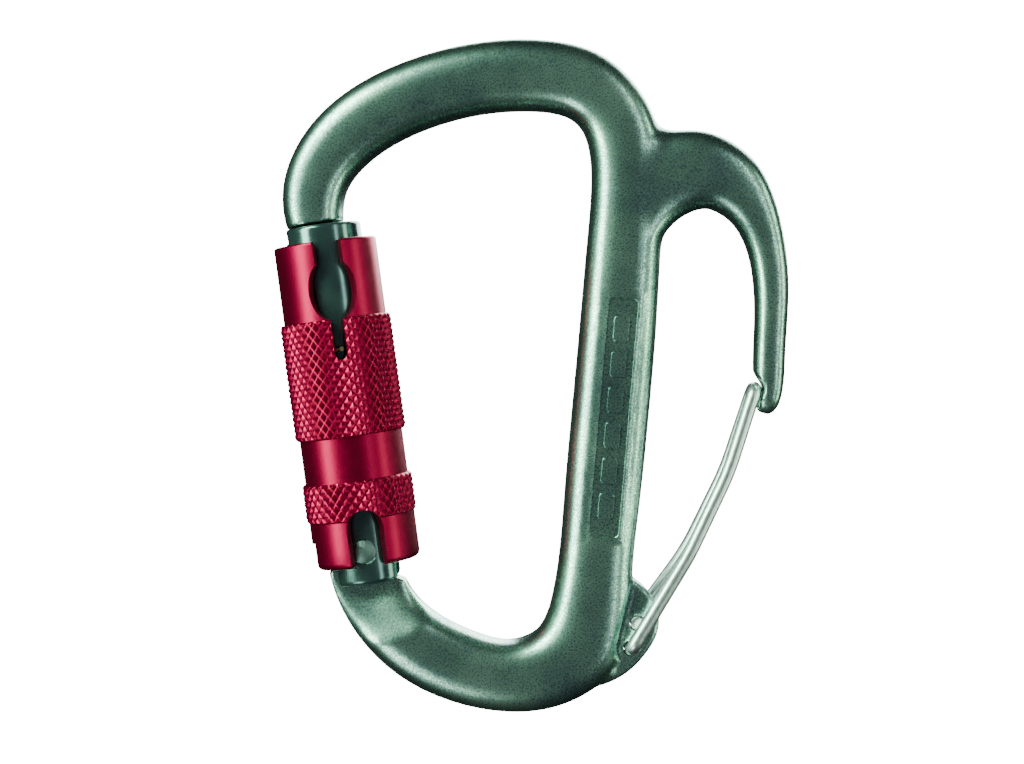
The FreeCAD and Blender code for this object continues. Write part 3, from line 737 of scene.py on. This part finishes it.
def key_slot():
    """Dovetail slot swept about the rivet, open on the outer side of the gate."""
    floor_radius = math.hypot(SLEEVE_TOP, TOP_RADIUS) + 0.05
    top_radius = math.hypot(GATE_LENGTH, BARREL) + 1.3
    rings = []
    for k in range(17):
        angle = (-11.9 + (1.9 + 11.9) * k / 16) / GATE_LENGTH
        ring = [[r * math.sin(angle), y, r * math.cos(angle)]
                for y, r in ((-1.6, top_radius), (1.6, top_radius),
                             (2.4, floor_radius), (-2.4, floor_radius))]
        rings.append(on_gate(np.array(ring)))
    verts, faces = loft(rings)
    return recalculated(mesh_object("key", verts, faces))


# ---- bent wire -------------------------------------------------------------------------
def rounded_path(corners, radii, straight_step=1.2):
    """Points along straight runs joined by arcs of the given radii."""
    corners = [np.asarray(c, float) for c in corners]
    points = [corners[0]]

    def run_to(end):
        start = points[-1]
        length = np.linalg.norm(end - start)
        count = max(1, int(length / straight_step))
        for k in range(1, count + 1):
            points.append(start + (end - start) * k / count)

    for k in range(1, len(corners) - 1):
        before = corners[k - 1] - corners[k]
        after = corners[k + 1] - corners[k]
        before /= np.linalg.norm(before)
        after /= np.linalg.norm(after)
        half = math.acos(float(np.clip(before @ after, -1, 1))) / 2
        radius = radii[k - 1]
        setback = radius / math.tan(half)
        start = corners[k] + before * setback
        centre = corners[k] + (before + after) / np.linalg.norm(before + after) * radius / math.sin(half)
        run_to(start)
        sweep = math.pi - 2 * half
        count = max(6, int(sweep / math.radians(9)))
        e1 = (start - centre) / radius
        end = corners[k] + after * setback
        e2 = (end - centre) / radius
        e2 = e2 - e1 * (e1 @ e2)
        e2 /= np.linalg.norm(e2)
        for m in range(1, count + 1):
            angle = sweep * m / count
            points.append(centre + radius * (e1 * math.cos(angle) + e2 * math.sin(angle)))
    run_to(corners[-1])
    return np.array(points)


def wire_piece():
    """The whole gate wire in one piece, from its front tail round the tip to its rear tail."""
    offset = LUG_HALF + 0.25 + WIRE_RADIUS
    bows = [((26.4, -69.4), 0.35), ((32.6, -56.6), 1.1)]
    corners = [(WIRE_FRONT[0], 2.0, WIRE_FRONT[1]), (WIRE_FRONT[0], -offset, WIRE_FRONT[1])]
    corners += [(x, -(offset - s), z) for (x, z), s in bows]
    corners += [(36.85, -1.55, -43.6), (36.85, 1.55, -43.6)]
    corners += [(x, offset - s, z) for (x, z), s in reversed(bows)]
    corners += [(WIRE_REAR[0], offset, WIRE_REAR[1]), (WIRE_REAR[0], -2.0, WIRE_REAR[1])]
    radii = [1.35, 40, 40, 1.53, 1.53, 40, 40, 1.35]
    path = rounded_path(corners, radii)
    tip = ((0.06, 1.06), (0.14, 0.95), (0.16, 0.6), (0.10, 0.25))
    verts, faces = tube_along(path, WIRE_RADIUS, 28, tip)
    obj = recalculated(mesh_object("wire_bent", verts, faces))
    shade(obj, 40.0)
    return obj


# ---- pieces ----------------------------------------------------------------------------
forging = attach(dress(forged_frame(), FRAME_LOOK), "frame")
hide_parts("frame")
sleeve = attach(dress(knurled_sleeve(), SLEEVE_LOOK), "sleeve")
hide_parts("locking_sleeve")
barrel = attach(dress(fork_barrel(), BARREL_LOOK), "gate")
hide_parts("gate_barrel")
wire = dress(wire_piece(), WIRE_LOOK)
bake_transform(wire)
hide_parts("wire_gate", "wire_gate_rear_tail")

for name, look, slot in (("frame", FRAME_LOOK, "frame_anodised"),
                         ("gate_barrel", BARREL_LOOK, "barrel_anodised"),
                         ("locking_sleeve", SLEEVE_LOOK, "sleeve_red"),
                         ("wire_gate", WIRE_LOOK, "steel_wire"),
                         ("wire_gate_rear_tail", WIRE_LOOK, "steel_wire"),
                         ("gate_hinge_rivet", RIVET_LOOK, "rivet_steel"),
                         ("sleeve_guide_pin", RIVET_LOOK, "rivet_steel"),
                         ("gate_closing_spring", SPRING_LOOK, "spring_steel"),
                         ("sleeve_return_spring", SPRING_LOOK, "spring_steel"),
                         ("sleeve_retaining_ring", SPRING_LOOK, "spring_steel"),
                         ("gate_plunger", BRASS_LOOK, "plunger_brass"),
                         ("gate_bore_plug", BRASS_LOOK, "plunger_brass")):
    dress(nodes[name], look)

# ---- studio ----------------------------------------------------------------------------
WHITE = 17.0
FLOOR_RADIUS = 1500.0
FLOOR_HEIGHT = -140.0
AIM = Vector((0.0, 0.0, -0.045))


def studio():
    """White backdrop and floor that only the camera sees, and a dim room for the metal to reflect."""
    world = bpy.data.worlds.new("studio")
    bpy.context.scene.world = world
    world.use_nodes = True
    tree = world.node_tree
    tree.nodes.clear()
    out = tree.nodes.new("ShaderNodeOutputWorld")
    seen = tree.nodes.new("ShaderNodeBackground")
    seen.inputs[0].default_value = (1, 1, 1, 1)
    seen.inputs[1].default_value = WHITE
    room = tree.nodes.new("ShaderNodeBackground")
    room.inputs[0].default_value = (0.85, 0.95, 1.0, 1)
    way = tree.nodes.new("ShaderNodeTexCoord")
    split = tree.nodes.new("ShaderNodeSeparateXYZ")
    tree.links.new(way.outputs["Generated"], split.inputs[0])
    tree.links.new(remap(tree, split.outputs["Y"], 0.35, -0.95, 0.02, 0.075), room.inputs[1])
    mix = tree.nodes.new("ShaderNodeMixShader")
    path = tree.nodes.new("ShaderNodeLightPath")
    tree.links.new(path.outputs["Is Camera Ray"], mix.inputs[0])
    tree.links.new(room.outputs[0], mix.inputs[1])
    tree.links.new(seen.outputs[0], mix.inputs[2])
    tree.links.new(mix.outputs[0], out.inputs[0])

    count = 96
    ring = [(FLOOR_RADIUS * math.cos(2 * math.pi * k / count),
             FLOOR_RADIUS * math.sin(2 * math.pi * k / count), FLOOR_HEIGHT) for k in range(count)]
    floor = mesh_object("floor", ring, [tuple(range(count))])
    mat = bpy.data.materials.new("floor_pale")
    mat.use_nodes = True
    tree = mat.node_tree
    tree.nodes.clear()
    out = tree.nodes.new("ShaderNodeOutputMaterial")
    glow = tree.nodes.new("ShaderNodeEmission")
    glow.inputs[0].default_value = (1, 1, 1, 1)
    glow.inputs[1].default_value = WHITE
    tree.links.new(glow.outputs[0], out.inputs[0])
    floor.data.materials.append(mat)
    floor.visible_glossy = False
    floor.visible_diffuse = False
    floor.visible_shadow = False


def softbox(name, place, size_x, size_y, power, colour):
    """Rectangular light that looks at the middle of the object."""
    lamp = bpy.data.lights.new(name, "AREA")
    lamp.shape = "RECTANGLE"
    lamp.size = size_x
    lamp.size_y = size_y
    lamp.energy = power
    lamp.color = colour
    obj = bpy.data.objects.new(name, lamp)
    bpy.context.scene.collection.objects.link(obj)
    obj.location = place
    obj.rotation_euler = (AIM - Vector(place)).to_track_quat("-Z", "Y").to_euler()
    return obj


studio()
softbox("key_left", (-0.60, -0.41, 0.08), 0.24, 0.72, 10.0, (0.66, 1.0, 0.74))
softbox("key_high", (-0.46, -0.44, 0.46), 0.34, 0.30, 8.0, (0.66, 1.0, 0.74))
softbox("strip_right", (0.46, -0.54, 0.02), 0.10, 0.80, 1.1, (0.80, 1.0, 0.88))
softbox("edge_right", (0.66, -0.20, -0.05), 0.14, 0.70, 2.2, (0.70, 1.0, 0.70))
softbox("low_card", (-0.30, -0.45, -0.50), 0.30, 0.20, 1.2, (0.75, 1.0, 0.85))
softbox("back_fill", (0.22, 0.56, 0.26), 0.60, 0.50, 9.0, (0.86, 1.0, 0.92))

camera_data = bpy.data.cameras.new("camera")
camera = bpy.data.objects.new("camera", camera_data)
bpy.context.scene.collection.objects.link(camera)
bpy.context.scene.camera = camera
camera_data.sensor_width = 36.0
camera_data.lens = 71.45
camera_data.clip_start = 0.01
camera_data.shift_y = -0.0614
camera.location = (-0.00126, -0.320, -0.0327)
camera.rotation_euler = (math.radians(90), 0, 0)
